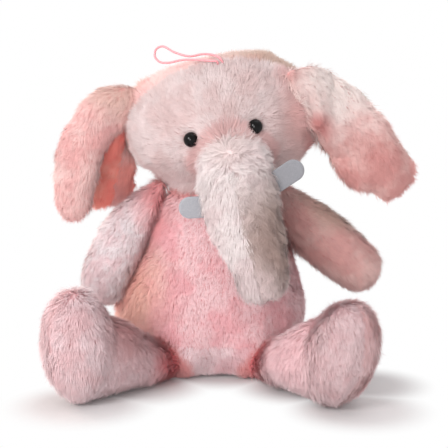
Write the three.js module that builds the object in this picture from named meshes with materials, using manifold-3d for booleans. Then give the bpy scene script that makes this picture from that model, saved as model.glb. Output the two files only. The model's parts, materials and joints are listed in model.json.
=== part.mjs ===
import * as THREE from 'three';
import * as BufferGeometryUtils from 'three/addons/utils/BufferGeometryUtils.js';
import Module from 'manifold-3d';

// A sitting plush elephant. Millimetres, +Z up, the front faces -Y.
// The origin is the middle of the flat seat that it sits on.

const wasm = await Module();
wasm.setup();

// Sewing sizes
const seamGap = 0.3;
const swingGap = 0.8;
const coverThickness = 8;
const flatDepth = 0.5;

// Body
const bodyHeight = 155;
const bodyHalfWidth = 76;
const bodyHalfDepth = 66;
const seatPanelHeight = 32;
const sideSeamBack = 8;
const bodySag = 4;
const bagHalfWidth = 42;
const bagHalfDepth = 34;
const bagHeight = 20;

// Head
const headHalfWidth = 81;
const headHalfDepth = 61;
const headHalfHeight = 57.5;
const headSink = 3.5;
const headForward = 8;
const headAside = 1;
const cheekLean = 2;
const headRoll = 11.5;
const headTurn = 10;
const foreheadHalfWidth = 18;
const backSeamForward = 8;
const backSeamTilt = 26;

// Trunk
const trunkLength = 129;
const trunkHalfWidth = 33.5;
const trunkHalfDepth = 24;
const trunkReach = 19;
const trunkInset = 27;
const trunkRootDrop = 10;
const trunkHingeRise = 2;
const trunkSkinThickness = 7;
const trunkLift = 50;

// Ears
const spreadEarReach = 80;
const spreadEarDroop = 92;
const spreadEarHalfWidth = 34.5;
const foldedEarReach = 68;
const foldedEarDroop = 88;
const foldedEarRoll = 19;
const foldedEarFlap = 26;
const earHalfThickness = 8.5;
const earRootInset = 10;
const spreadEarRoot = 58;
const spreadEarSeam = 8;
const spreadEarRise = 22;
const spreadEarForward = 38;
const spreadEarBack = 5;
const foldedEarRise = 32;
const foldedEarForward = 16;
const foldedFlapForward = 13;
const foldedFlapBack = 39;
const earFlap = 20;
const foldedEarBack = 5;

// Arms
const shoulderDrop = 12;
const shoulderForward = 5;
const shoulderHalfWidth = 47;
const shoulderTilt = 21;
const shoulderInset = 2.5;
const armSwingForward = 20;
const armSwingBack = 30;
const armLength = 96;
const armRootInset = 4;
const leftArmRise = 8;
const rightArmRise = 5;
const leftElbowBend = 8.6;
const armHalfWidth = 25.5;
const armHalfDepth = 22;
const armSkinThickness = 7;

// Legs
const legHalfHeight = 36;
const legHalfWidth = 28;
const legReach = 96;
const footHalfLength = 47.5;
const footHalfWidth = 31;
const footHalfThickness = 30;
const hipReach = 48;
const footForward = 18;
const leftLegSplay = 43;
const rightLegSplay = 34;
const leftToeLean = 4;
const rightToeLean = 24;

// Tail
const tailHeight = 44;
const tailLength = 40;
const tailRadius = 8;
const tailInset = 12;
const tailDrop = 18;

// Eyes, tusks and loop
const eyeDiameter = 12.5;
const eyeSpacing = 52;
const eyeDrop = 4;
const eyeSeatDepth = 3.5;
const shankDiameter = 4;
const washerDiameter = 15;
const washerThickness = 2;
const tuskWidth = 17.5;
const tuskLength = 25;
const tuskInset = 14;
const tuskForward = 67;
const leftTuskAside = 21.5;
const leftTuskDrop = 58;
const leftTuskRise = 10;
const rightTuskAside = 34;
const rightTuskDrop = 49;
const rightTuskRise = 24;
const tuskThickness = 3;
const loopDiameter = 1.9;

const toRadians = THREE.MathUtils.degToRad;
const upward = new THREE.Vector3(0, 0, 1);
const sideways = new THREE.Vector3(1, 0, 0);
const backward = new THREE.Vector3(0, 1, 0);

function vector(x, y, z) {
  return new THREE.Vector3(x, y, z);
}

// Closed solids and cuts

function toSolid(geometry) {
  const bare = geometry.index ? geometry.clone() : geometry;
  bare.deleteAttribute('normal');
  bare.deleteAttribute('uv');
  const merged = BufferGeometryUtils.mergeVertices(bare, 1e-4);
  return new wasm.Manifold(new wasm.Mesh({
    numProp: 3,
    vertProperties: new Float32Array(merged.attributes.position.array),
    triVerts: new Uint32Array(merged.index.array),
  }));
}

function toGeometry(solid) {
  const mesh = solid.getMesh();
  const geometry = new THREE.BufferGeometry();
  geometry.setAttribute('position', new THREE.BufferAttribute(new Float32Array(mesh.vertProperties), 3));
  geometry.setIndex(new THREE.BufferAttribute(new Uint32Array(mesh.triVerts), 1));
  geometry.computeVertexNormals();
  return geometry;
}

function turned(solid, matrix) {
  const geometry = toGeometry(solid);
  geometry.applyMatrix4(matrix);
  return toSolid(geometry);
}

function largest(solid) {
  const pieces = solid.decompose();
  pieces.sort((a, b) => b.volume() - a.volume());
  return pieces[0];
}

// A turn of so many degrees about an axis through a point
function hingeTurn(hinge, degrees) {
  const matrix = new THREE.Matrix4().makeTranslation(hinge.at.x, hinge.at.y, hinge.at.z);
  matrix.multiply(new THREE.Matrix4().makeRotationAxis(hinge.axis, toRadians(degrees)));
  return matrix.multiply(new THREE.Matrix4().makeTranslation(-hinge.at.x, -hinge.at.y, -hinge.at.z));
}

// The solid less the obstacle, at each angle that the hinge takes the solid to
function clearOfSwing(solid, obstacle, hinge, angles) {
  return angles.reduce(
    (rest, degrees) => rest.subtract(turned(obstacle, hingeTurn(hinge, -degrees))), solid);
}

// Everything on the far side of a plane, as a block
function halfSpace(point, normal) {
  const size = 1000;
  const block = new THREE.BoxGeometry(size, size, size);
  block.translate(0, 0, size / 2);
  block.applyQuaternion(new THREE.Quaternion().setFromUnitVectors(upward, normal.clone().normalize()));
  block.translate(point.x, point.y, point.z);
  return toSolid(block);
}

// The two sides of a solid sewn along a plane, half a seam gap away from it each
function splitAt(solid, point, normal) {
  const half = normal.clone().normalize().multiplyScalar(seamGap / 2);
  const ahead = solid.intersect(halfSpace(point.clone().add(half), normal));
  const behind = solid.intersect(halfSpace(point.clone().sub(half), normal.clone().negate()));
  return [largest(ahead), largest(behind)];
}

// Soft forms: rings of points along a curve, with rounded ends

function smoothValue(values, t) {
  const last = values.length - 1;
  const place = Math.min(Math.max(t, 0), 1) * last;
  const i = Math.min(Math.floor(place), last - 1);
  const u = place - i;
  const p0 = values[Math.max(i - 1, 0)];
  const p1 = values[i];
  const p2 = values[i + 1];
  const p3 = values[Math.min(i + 2, last)];
  const slopeIn = (p2 - p0) / 2;
  const slopeOut = (p3 - p1) / 2;
  const u2 = u * u;
  const u3 = u2 * u;
  return (2 * u3 - 3 * u2 + 1) * p1 + (u3 - 2 * u2 + u) * slopeIn
    + (3 * u2 - 2 * u3) * p2 + (u3 - u2) * slopeOut;
}

function roundPower(value, power) {
  return Math.sign(value) * Math.abs(value) ** (2 / power);
}

// spine: points; wide and deep: half sizes along it; side: the direction of the width;
// grow: how far the skin lies outside (or, below zero, inside) the form
function softForm({ spine, wide, deep, side, startCap, endCap, around = 16, along = 8, capRings = 4,
  startPower = 2, endPower = 2, sectionPower = 2 }, grow = 0) {
  const curve = new THREE.CatmullRomCurve3(spine, false, 'centripetal');
  const rings = [];
  const addRing = (t, advance, share) => {
    const tangent = curve.getTangent(t).normalize();
    const across = side.clone().addScaledVector(tangent, -side.dot(tangent)).normalize();
    const through = new THREE.Vector3().crossVectors(tangent, across);
    const centre = curve.getPoint(t).addScaledVector(tangent, advance);
    const halfWide = (smoothValue(wide, t) + grow) * share;
    const halfDeep = (smoothValue(deep, t) + grow) * share;
    const ring = [];
    for (let k = 0; k < around; k += 1) {
      const angle = 2 * Math.PI * k / around;
      const x = roundPower(Math.cos(angle), sectionPower) * halfWide;
      const y = roundPower(Math.sin(angle), sectionPower) * halfDeep;
      ring.push(centre.clone().addScaledVector(across, x).addScaledVector(through, y));
    }
    rings.push(ring);
  };
  const capShare = (i, power) => (1 - Math.sin(Math.PI / 2 * i / capRings) ** power) ** (1 / power);
  for (let i = capRings - 1; i > 0; i -= 1) {
    addRing(0, -(startCap + grow) * Math.sin(Math.PI / 2 * i / capRings), capShare(i, startPower));
  }
  for (let i = 0; i <= along; i += 1) {
    addRing(i / along, 0, 1);
  }
  for (let i = 1; i < capRings; i += 1) {
    addRing(1, (endCap + grow) * Math.sin(Math.PI / 2 * i / capRings), capShare(i, endPower));
  }
  const startTip = curve.getPoint(0).addScaledVector(curve.getTangent(0).normalize(), -(startCap + grow));
  const endTip = curve.getPoint(1).addScaledVector(curve.getTangent(1).normalize(), endCap + grow);
  const points = [startTip, ...rings.flat(), endTip];
  const faces = [];
  const at = (ring, k) => 1 + ring * around + (k % around);
  for (let k = 0; k < around; k += 1) {
    faces.push(0, at(0, k + 1), at(0, k));
    faces.push(points.length - 1, at(rings.length - 1, k), at(rings.length - 1, k + 1));
    for (let r = 0; r + 1 < rings.length; r += 1) {
      faces.push(at(r, k), at(r, k + 1), at(r + 1, k + 1));
      faces.push(at(r, k), at(r + 1, k + 1), at(r + 1, k));
    }
  }
  const geometry = new THREE.BufferGeometry();
  const flat = points.flatMap((p) => [p.x, p.y, p.z]);
  geometry.setAttribute('position', new THREE.Float32BufferAttribute(flat, 3));
  geometry.setIndex(faces);
  return toSolid(geometry);
}

// The same form with fewer faces, for what lies inside
function coarse(form) {
  return { ...form, around: 9, along: Math.max(3, Math.round(form.along * 0.4)), capRings: 2 };
}

function ellipsoid({ centre, halfSizes, quaternion }, grow, wedges, bands) {
  const geometry = new THREE.SphereGeometry(1, wedges, bands);
  geometry.rotateX(Math.PI / 2);
  geometry.scale(halfSizes.x + grow, halfSizes.y + grow, halfSizes.z + grow);
  geometry.applyQuaternion(quaternion);
  geometry.translate(centre.x, centre.y, centre.z);
  return toSolid(geometry);
}

// Where a line meets a solid first
function meets(solid, from, direction) {
  const mesh = new THREE.Mesh(toGeometry(solid), new THREE.MeshBasicMaterial({ side: THREE.DoubleSide }));
  const hits = new THREE.Raycaster(from, direction.clone().normalize()).intersectObject(mesh);
  return hits[0].point;
}

// Body form, on the seat

const bodyForm = {
  spine: [[0.5, 0.06], [1, 0.2], [1, 0.4], [0.4, 0.6], [0, 0.8], [0, 1.02]].map(
    ([aside, share]) => vector(-bodySag * aside, 0, bodyHeight * share)),
  wide: [0.88, 1.03, 1.03, 0.89, 0.7, 0.5].map((share) => bodyHalfWidth * share),
  deep: [0.82, 0.97, 1.0, 0.9, 0.72, 0.54].map((share) => bodyHalfDepth * share),
  side: sideways,
  startCap: bodyHeight * 0.06 + flatDepth,
  endCap: bodyHeight * 0.08,
  startPower: 3.4,
  around: 18,
  along: 7,
};
const aboveFloor = halfSpace(vector(0, 0, 0), upward);
const belowNeck = halfSpace(vector(0, 0, bodyHeight), upward.clone().negate());
const aboveNeck = halfSpace(vector(0, 0, bodyHeight + seamGap), upward);
const bodyOuter = softForm(bodyForm).intersect(aboveFloor).intersect(belowNeck);
const bodyGrown = softForm(bodyForm, seamGap);

// Head form, in the head's own frame, then rolled to one side and set on the neck

const headCentre = vector(headAside, -headForward, bodyHeight + headHalfHeight - headSink);
const headFrame = new THREE.Matrix4().makeTranslation(headCentre.x, headCentre.y, headCentre.z)
  .multiply(new THREE.Matrix4().makeRotationY(toRadians(-headRoll)));

function onHead(x, y, z) {
  return vector(x, y, z).applyMatrix4(headFrame);
}

function headDirection(x, y, z) {
  return vector(x, y, z).transformDirection(headFrame);
}

const headForm = {
  spine: [[0.5, -0.72], [1, -0.45], [0.5, -0.18], [0, 0.08], [0, 0.35], [0, 0.62], [0, 0.8]].map(
    ([aside, share]) => onHead(cheekLean * aside, 0, headHalfHeight * share)),
  wide: [0.7, 0.9, 0.98, 1.0, 0.96, 0.85, 0.7].map((share) => headHalfWidth * share),
  deep: [0.66, 0.88, 0.98, 1.0, 0.96, 0.84, 0.68].map((share) => headHalfDepth * share),
  side: headDirection(1, 0, 0),
  startCap: headHalfHeight * 0.28,
  endCap: headHalfHeight * 0.2,
  around: 18,
  along: 7,
};
const headOuter = softForm(headForm).intersect(aboveNeck);
const headGrown = softForm(headForm, seamGap);

// Trunk form: from between the eyes, out over the chest and down, thinner towards its round tip

const trunkFront = headHalfDepth + trunkReach;
const trunkBack = headHalfDepth - trunkInset;
const trunkForm = {
  spine: [
    [0.06, trunkBack, 0],
    [0.12, trunkBack * 0.35 + trunkFront * 0.46, 0.1],
    [0.09, trunkFront * 0.8, 0.27],
    [0.08, trunkFront * 0.91, 0.45],
    [0.18, trunkFront * 0.975, 0.61],
    [0.24, trunkFront, 0.76],
    [0.24, trunkFront, 0.88],
  ].map(([aside, forward, down]) => onHead(
    trunkHalfWidth * aside, -forward, -trunkRootDrop - trunkLength * down)),
  wide: [0.66, 0.87, 0.985, 0.96, 0.85, 0.74, 0.66].map((share) => trunkHalfWidth * share),
  deep: [0.67, 0.92, 1.0, 0.96, 0.9, 0.84, 0.8].map((share) => trunkHalfDepth * share),
  side: headDirection(1, 0, 0),
  startCap: trunkHalfDepth * 0.6,
  endCap: trunkLength * 0.12,
  around: 14,
  along: 9,
  capRings: 3,
};

// The trunk turns about the top of its seam
const trunkHinge = {
  at: onHead(trunkHalfWidth * 0.09, -headHalfDepth, trunkHingeRise),
  axis: headDirection(-1, 0, 0),
};

// Ear forms: the spread ear is one drooping leaf, the folded ear a front roll over a back flap

const spreadEarForm = {
  spine: [[0, 1, 0], [0.2, 0.72, -0.09], [0.38, 0.4, -0.23], [0.56, 0.26, -0.5], [0.75, 0.24, -0.81], [0.92, 0.2, -1]].map(
    ([out, forward, down]) => onHead(
      spreadEarRoot + spreadEarReach * out,
      -spreadEarForward * forward,
      spreadEarRise + spreadEarDroop * down,
    )),
  wide: [0.5, 0.78, 0.96, 1.0, 0.93, 0.76].map((share) => spreadEarHalfWidth * share),
  deep: [0.7, 0.95, 1.0, 1.0, 1.0, 0.9].map((share) => earHalfThickness * share),
  side: headDirection(0, 0, 1),
  startCap: earRootInset * 0.6,
  endCap: spreadEarReach * 0.25,
  around: 14,
  along: 6,
  sectionPower: 2.2,
};
const foldedEarRollForm = {
  spine: [[0, 0], [0.27, 0], [0.59, -0.08], [0.9, -0.24], [1.06, -0.49], [1.15, -0.75]].map(
    ([out, down]) => onHead(
      -headHalfWidth * 0.72 - foldedEarReach * out,
      -foldedEarForward * (0.375 + 0.625 * Math.min(out, 1)),
      foldedEarRise + foldedEarDroop * down,
    )),
  wide: [0.75, 0.9, 1.0, 1.04, 0.95, 0.88].map((share) => foldedEarRoll * share),
  deep: [0.9, 1.1, 1.2, 1.2, 1.2, 1.1].map((share) => earHalfThickness * share),
  side: headDirection(0, 0, 1),
  startCap: earRootInset,
  endCap: foldedEarDroop * 0.22,
  around: 12,
  along: 7,
};
const foldedEarFlapForm = {
  spine: [[0.04, 0, 0.04], [0.33, 0.36, -0.19], [0.55, 0.75, -0.44], [0.67, 1, -0.7]].map(([out, back, down]) => onHead(
    -headHalfWidth * 0.77 - foldedEarReach * out,
    -foldedFlapForward + foldedFlapBack * back,
    foldedEarRise * 0.78 + foldedEarDroop * down,
  )),
  wide: [0.58, 0.78, 1.0, 1.0].map((share) => foldedEarFlap * share),
  deep: [0.7, 0.8, 0.8, 0.75].map((share) => earHalfThickness * share),
  side: headDirection(1, 0, 0),
  startCap: earRootInset,
  endCap: foldedEarDroop * 0.24,
  around: 10,
  along: 4,
  capRings: 3,
};

// The ears turn about the front edge of their seams

const spreadEarHinge = {
  at: onHead(spreadEarRoot + spreadEarSeam, -spreadEarForward, spreadEarRise),
  axis: headDirection(0, 0, 1),
};
const foldedEarHinge = {
  at: onHead(-headHalfWidth * 0.89, -foldedEarForward * 0.875, foldedEarRise * 0.94),
  axis: headDirection(0.42, 0, 0.91),
};

// Arm forms: from the shoulder down beside the body, thicker towards the paw

function armForm(shoulder, direction, elbow) {
  const paw = shoulder.clone().addScaledVector(direction.normalize(), armLength);
  const bend = vector(0, 0, 0).lerpVectors(shoulder, paw, 0.5).add(elbow);
  return {
    spine: [shoulder, bend, paw],
    wide: [0.62, 0.86, 0.98, 1.0, 0.92].map((share) => armHalfWidth * share),
    deep: [0.66, 0.88, 0.98, 1.0, 0.92].map((share) => armHalfDepth * share),
    side: sideways,
    startCap: armHalfWidth * 0.5,
    endCap: armHalfWidth * 0.75,
    around: 12,
    along: 5,
    capRings: 3,
  };
}

const shoulderHeight = bodyHeight - shoulderDrop;
const armRootX = shoulderHalfWidth - armRootInset;
const leftArmForm = armForm(
  vector(-armRootX, -shoulderForward, shoulderHeight + leftArmRise),
  vector(-0.583, -0.122, -0.804),
  vector(-0.81, 0, 0.58).multiplyScalar(leftElbowBend),
);
const rightArmForm = armForm(
  vector(armRootX, -shoulderForward, shoulderHeight + rightArmRise),
  vector(0.764, -0.148, -0.628),
  vector(0, 0, 0),
);

// Leg forms: a leg lying on the floor, low at the hip and rising to a foot turned up at its end

function legShape(side, toeLean, splay, footHeight) {
  const outward = vector(side * Math.sin(toRadians(splay)), -Math.cos(toRadians(splay)), 0);
  const place = (reach, height) => vector(0, 0, height - flatDepth)
    .addScaledVector(outward, hipReach + reach);
  const lean = new THREE.Quaternion().setFromAxisAngle(sideways, toRadians(toeLean));
  const turn = new THREE.Quaternion().setFromAxisAngle(upward, toRadians(side * splay));
  const stations = [[0, 0.3, 0.5], [0.27, 0.43, 0.68], [0.53, 0.65, 0.86], [0.8, 0.88, 0.97], [1, 1, 1]];
  return {
    outward,
    thigh: {
      spine: stations.map(([reach, high]) => place(legReach * reach, legHalfHeight * high)),
      wide: stations.map(([, , across]) => legHalfWidth * across),
      deep: stations.map(([, high]) => legHalfHeight * high),
      side: vector(-outward.y, outward.x, 0),
      startCap: legHalfHeight * 0.25,
      endCap: legHalfHeight * 0.6,
      around: 12,
      along: 4,
      capRings: 2,
    },
    foot: {
      centre: place(legReach + footForward, footHeight),
      halfSizes: vector(footHalfWidth, footHalfThickness, footHalfLength),
      quaternion: turn.multiply(lean),
    },
  };
}

function legForm({ thigh, foot }, grow, fine) {
  const leg = softForm(fine ? thigh : coarse(thigh), grow);
  return leg.add(ellipsoid(foot, grow, fine ? 12 : 8, fine ? 9 : 6));
}

const leftLeg = legShape(-1, leftToeLean, leftLegSplay, footHalfLength);
const rightLeg = legShape(1, rightToeLean, rightLegSplay, footHalfLength * 0.94);

// Colours and finishes

const pinkFur = { color: 0xf0b9bf };
const paleFur = { color: 0xf3d6d6 };
const deepPinkFur = { color: 0xe98f8f };
const shadedFur = { color: 0xdcb7ae };
const fibre = { color: 0xf7f5f0 };
const pelletCloth = { color: 0xe9e6dc, roughness: 0.85 };
const blackGloss = { color: 0x0b0a0b, roughness: 0.08 };
const whitePlastic = { color: 0xe6e4de, roughness: 0.45 };
const greyFelt = { color: 0xb9c3cc };
const pinkCord = { color: 0xf09a98, roughness: 0.6 };

const elephant = new THREE.Group();

function addPart(name, solid, look) {
  const material = new THREE.MeshStandardMaterial({ metalness: 0, roughness: 0.95, ...look });
  const mesh = new THREE.Mesh(toGeometry(solid), material);
  mesh.name = name;
  elephant.add(mesh);
}

// Body: belly, back and seat panels round a filling that rests on a bag of pellets

function makeBody() {
  const inside = softForm(coarse(bodyForm), -coverThickness);
  const cover = bodyOuter.subtract(inside);
  const [upper, seat] = splitAt(cover, vector(0, 0, seatPanelHeight), upward);
  const [back, belly] = splitAt(upper, vector(0, sideSeamBack, 0), backward);
  const [backRight, backLeft] = splitAt(back, vector(0, 0, 0), sideways);
  addPart('seat_panel', seat, paleFur);
  addPart('belly_panel', belly, pinkFur);
  addPart('back_panel_left', backLeft, pinkFur);
  addPart('back_panel_right', backRight, pinkFur);
  const filling = softForm(coarse(bodyForm), -coverThickness - seamGap).intersect(belowNeck);
  const bagShape = {
    centre: vector(0, 0, coverThickness),
    halfSizes: vector(bagHalfWidth, bagHalfDepth, bagHeight),
    quaternion: new THREE.Quaternion(),
  };
  const bag = ellipsoid(bagShape, 0, 14, 8).intersect(filling);
  const bagSpace = ellipsoid(bagShape, seamGap, 14, 8);
  addPart('body_filling', largest(filling.subtract(bagSpace)), fibre);
  addPart('pellet_bag', largest(bag), pelletCloth);
}

// Eyes: a glossy bead on a shank, which a washer holds behind the cover

function makeEye(side, insideHead) {
  const direction = headDirection(0, -1, 0);
  const from = onHead(side * eyeSpacing / 2, -headHalfDepth * 2, -eyeDrop);
  const surface = meets(headOuter, from, direction.clone().negate());
  const innerWall = meets(insideHead, from, direction.clone().negate());
  const wallDepth = surface.distanceTo(innerWall);
  const radius = eyeDiameter / 2;
  const shankRadius = shankDiameter / 2;
  const shankEnd = wallDepth + washerThickness + seamGap * 4;
  const bead = (grow) => {
    const profile = [new THREE.Vector2(0, -shankEnd - grow)];
    profile.push(new THREE.Vector2(shankRadius + grow, -shankEnd - grow));
    profile.push(new THREE.Vector2(shankRadius + grow, -eyeSeatDepth - grow));
    for (let i = 0; i <= 6; i += 1) {
      const angle = Math.PI / 2 * i / 6;
      profile.push(new THREE.Vector2(
        (radius + grow) * Math.cos(angle) * (i < 6 ? 1 : 0),
        -eyeSeatDepth - grow + (radius * 1.15 + grow * 2) * Math.sin(angle),
      ));
    }
    return new THREE.LatheGeometry(profile, 14);
  };
  const washer = (grow, holeRadius) => {
    const half = washerThickness / 2 + grow;
    const rim = washerDiameter / 2 + grow;
    const profile = [[holeRadius, -half], [rim, -half], [rim, half], [holeRadius, half], [holeRadius, -half]];
    const geometry = new THREE.LatheGeometry(profile.map(([r, h]) => new THREE.Vector2(r, h)), 12);
    return geometry.translate(0, -wallDepth - washerThickness / 2 - seamGap * 2, 0);
  };
  const place = (geometry) => {
    geometry.applyQuaternion(new THREE.Quaternion().setFromUnitVectors(backward, direction));
    geometry.translate(surface.x, surface.y, surface.z);
    return toSolid(geometry);
  };
  return {
    eye: place(bead(0)),
    washer: place(washer(0, shankRadius + seamGap)),
    room: place(bead(seamGap)).add(place(washer(seamGap, 0.01))),
  };
}

// Head: a forehead strip between two cheeks, and a back panel behind the seam that holds the ears

function makeHead() {
  const inside = softForm(coarse(headForm), -coverThickness);
  const eyes = [makeEye(-1, inside), makeEye(1, inside)];
  const room = eyes[0].room.add(eyes[1].room);
  const cover = headOuter.subtract(inside).subtract(room);
  const tilt = toRadians(backSeamTilt);
  const upAndBack = headDirection(0, Math.cos(tilt), Math.sin(tilt));
  const [back, front] = splitAt(cover, onHead(0, -backSeamForward, 0), upAndBack);
  const seamRight = onHead(foreheadHalfWidth, 0, 0);
  const seamLeft = onHead(-foreheadHalfWidth, 0, 0);
  const [cheekRight, rest] = splitAt(front, seamRight, headDirection(1, 0, 0));
  const [forehead, cheekLeft] = splitAt(rest, seamLeft, headDirection(1, 0, 0));
  addPart('forehead_panel', forehead, paleFur);
  addPart('cheek_left', cheekLeft, paleFur);
  addPart('cheek_right', cheekRight, paleFur);
  addPart('head_back_panel', back, shadedFur);
  const filling = softForm(coarse(headForm), -coverThickness - seamGap).intersect(aboveNeck).subtract(room);
  addPart('head_filling', largest(filling), fibre);
  ['left', 'right'].forEach((side, i) => {
    addPart(`eye_${side}`, eyes[i].eye, blackGloss);
    addPart(`eye_washer_${side}`, eyes[i].washer, whitePlastic);
  });
}

// Trunk and tusks

function makeTusk(root, side, rise, filled) {
  const half = tuskWidth / 2;
  const outline = new THREE.Shape();
  outline.moveTo(-tuskInset, -half);
  outline.lineTo(tuskLength - half, -half);
  outline.absarc(tuskLength - half, 0, half, -Math.PI / 2, Math.PI / 2, false);
  outline.lineTo(-tuskInset, half);
  outline.closePath();
  const plate = new THREE.ExtrudeGeometry(outline, {
    depth: tuskThickness,
    bevelEnabled: false,
    curveSegments: 8,
  });
  plate.translate(0, 0, -tuskThickness / 2);
  plate.rotateX(Math.PI / 2);
  if (side < 0) {
    plate.rotateZ(Math.PI);
  }
  plate.rotateZ(toRadians(side * -12));
  plate.rotateY(toRadians(side * -rise));
  plate.translate(root.x, root.y, root.z);
  plate.applyMatrix4(headFrame);
  return largest(toSolid(plate).subtract(filled));
}

function makeTrunk() {
  const cut = (solid) => largest(clearOfSwing(solid, headGrown, trunkHinge, [0, trunkLift / 2, trunkLift]));
  const outer = cut(softForm(trunkForm));
  const inside = softForm(coarse(trunkForm), -trunkSkinThickness);
  const lean = vector(0, 0, 0).subVectors(trunkForm.spine[6], trunkForm.spine[1]);
  const normal = vector(0, 0, 0).crossVectors(lean, backward).negate();
  const [left, right] = splitAt(outer.subtract(inside), trunkForm.spine[3], normal);
  addPart('trunk_panel_left', left, paleFur);
  addPart('trunk_panel_right', right, shadedFur);
  addPart('trunk_filling', cut(softForm(coarse(trunkForm), -trunkSkinThickness - seamGap)), fibre);
  const around = softForm(trunkForm, seamGap).add(headGrown);
  const leftRoot = vector(-leftTuskAside, -tuskForward, -leftTuskDrop);
  const rightRoot = vector(rightTuskAside, -tuskForward, -rightTuskDrop);
  addPart('tusk_left', makeTusk(leftRoot, -1, leftTuskRise, around), greyFelt);
  addPart('tusk_right', makeTusk(rightRoot, 1, rightTuskRise, around), greyFelt);
}

// Ears: an outer and an inner panel, sewn edge to edge

function makeSpreadEar() {
  const leaf = clearOfSwing(
    softForm(spreadEarForm), headGrown, spreadEarHinge, [-earFlap, -earFlap / 2, 0, spreadEarBack]);
  const along = vector(0, 0, 0).subVectors(spreadEarForm.spine[5], spreadEarForm.spine[2]);
  const normal = vector(0, 0, 0).crossVectors(along, headDirection(0, 0, 1));
  const [ahead, behind] = splitAt(largest(leaf), spreadEarForm.spine[3], normal);
  addPart('ear_right_inner_panel', normal.y < 0 ? ahead : behind, pinkFur);
  addPart('ear_right_outer_panel', normal.y < 0 ? behind : ahead, shadedFur);
}

function makeFoldedEar() {
  const flap = softForm(foldedEarFlapForm);
  const along = vector(0, 0, 0).subVectors(foldedEarFlapForm.spine[3], foldedEarFlapForm.spine[0]);
  const behind = vector(0, 0, 0).crossVectors(along, headDirection(0, 0, 1));
  const [back, lining] = splitAt(flap, foldedEarFlapForm.spine[0], behind.y > 0 ? behind : behind.negate());
  const roll = softForm(foldedEarRollForm).add(back);
  const grownRoll = softForm(foldedEarRollForm, seamGap);
  const clear = (solid) => largest(
    clearOfSwing(solid, headGrown, foldedEarHinge, [-foldedEarBack, 0, earFlap]));
  addPart('ear_left_outer_panel', clear(roll), pinkFur);
  addPart('ear_left_inner_panel', clear(lining.subtract(grownRoll)), deepPinkFur);
}

// Arms: a front and a back panel round a filling, turning flat against the side of the body

const armAngles = [-1, -0.75, -0.5, -0.25, 0].map((share) => armSwingBack * share)
  .concat([0.5, 1].map((share) => armSwingForward * share));

// How far a solid reaches in a direction
function farthest(solid, normal) {
  const positions = toGeometry(solid).attributes.position;
  let reach = -Infinity;
  for (let i = 0; i < positions.count; i += 1) {
    reach = Math.max(reach, vector(0, 0, 0).fromBufferAttribute(positions, i).dot(normal));
  }
  return reach;
}

function makeArm(side, name, form) {
  const tilt = toRadians(shoulderTilt);
  const outward = vector(side * Math.cos(tilt), 0, Math.sin(tilt));
  const hinge = {
    at: vector(side * shoulderHalfWidth, -shoulderForward, shoulderHeight),
    axis: outward.clone().multiplyScalar(-side),
  };
  const body = softForm(bodyForm, swingGap);
  const head = softForm(headForm, swingGap);
  const wallReach = farthest(body, outward) - shoulderInset;
  const wall = halfSpace(outward.clone().multiplyScalar(wallReach), outward);
  const neck = { at: vector(0, 0, bodyHeight), axis: upward };
  const turningHead = [-headTurn, headTurn].map((degrees) => turned(head, hingeTurn(neck, degrees)));
  const clear = (solid) => [body, ...turningHead].reduce(
    (rest, obstacle) => clearOfSwing(rest, obstacle, hinge, armAngles), solid.intersect(wall));
  const cut = (solid) => largest(clear(solid));
  const outer = cut(softForm(form));
  const inside = softForm(coarse(form), -armSkinThickness);
  const along = vector(0, 0, 0).subVectors(form.spine[2], form.spine[0]);
  const acrossSeam = vector(0, 0, 0).crossVectors(vector(0, 0, 0).crossVectors(along, backward), along);
  const [back, front] = splitAt(outer.subtract(inside), form.spine[1], acrossSeam);
  addPart(`arm_${name}_front_panel`, front, paleFur);
  addPart(`arm_${name}_back_panel`, back, pinkFur);
  addPart(`arm_${name}_filling`, cut(softForm(coarse(form), -armSkinThickness - seamGap)), fibre);
}

// Legs: an inner and an outer panel round a filling, sewn to the body at the hip

function makeLeg(name, shape) {
  const cut = (solid) => largest(solid.intersect(aboveFloor).subtract(bodyGrown));
  const outer = cut(legForm(shape, 0, true));
  const cover = outer.subtract(legForm(shape, -coverThickness, false));
  const normal = shape.thigh.side.clone();
  const [ahead, behind] = splitAt(cover, shape.foot.centre, normal);
  const innerAhead = normal.x * shape.outward.x < 0;
  addPart(`leg_${name}_inner_panel`, innerAhead ? ahead : behind, paleFur);
  addPart(`leg_${name}_outer_panel`, innerAhead ? behind : ahead, paleFur);
  addPart(`leg_${name}_filling`, cut(legForm(shape, -coverThickness - seamGap, false)), fibre);
}

// Hanging loop: both ends are sewn into the seam on top of the head

const loopRoot = onHead(headHalfWidth * 0.124, -headHalfDepth * 0.533, headHalfHeight * 0.8075);
const loopRoute = [
  [0, 0, 0], [-0.2, -1.8, 3.8], [-2.6, -2.5, 7.7], [-8.6, 1, 10.1], [-16.6, 5.5, 10.5],
  [-27.2, 10.5, 8.7], [-39.6, 14.5, 11.9], [-49.4, 18, 16.7], [-55, 20.5, 14.1], [-56, 21, 8.5],
  [-52.2, 20, 4.1], [-45.2, 17.5, 3.3], [-35.6, 12, 5.3], [-28.2, 6.5, 6.1], [-18.6, 0, 5.9],
  [-9.6, -5, 5.3], [-4.8, -5.5, 4.9], [-3.8, -2.9, 2.4], [-3.6, -0.5, -1],
].map(([aside, forward, up]) => loopRoot.clone().add(vector(aside, forward, up)));

function makeLoop() {
  const route = new THREE.CatmullRomCurve3(loopRoute, false, 'centripetal');
  const section = new THREE.Shape();
  section.absarc(0, 0, loopDiameter / 2, 0, Math.PI * 2, false);
  const stepLength = loopDiameter * 2.4;
  const cord = new THREE.ExtrudeGeometry(section, {
    steps: Math.round(route.getLength() / stepLength),
    extrudePath: route,
    curveSegments: 8,
  });
  addPart('hanging_loop', largest(toSolid(cord).subtract(headGrown)), pinkCord);
}

// Tail

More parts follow.
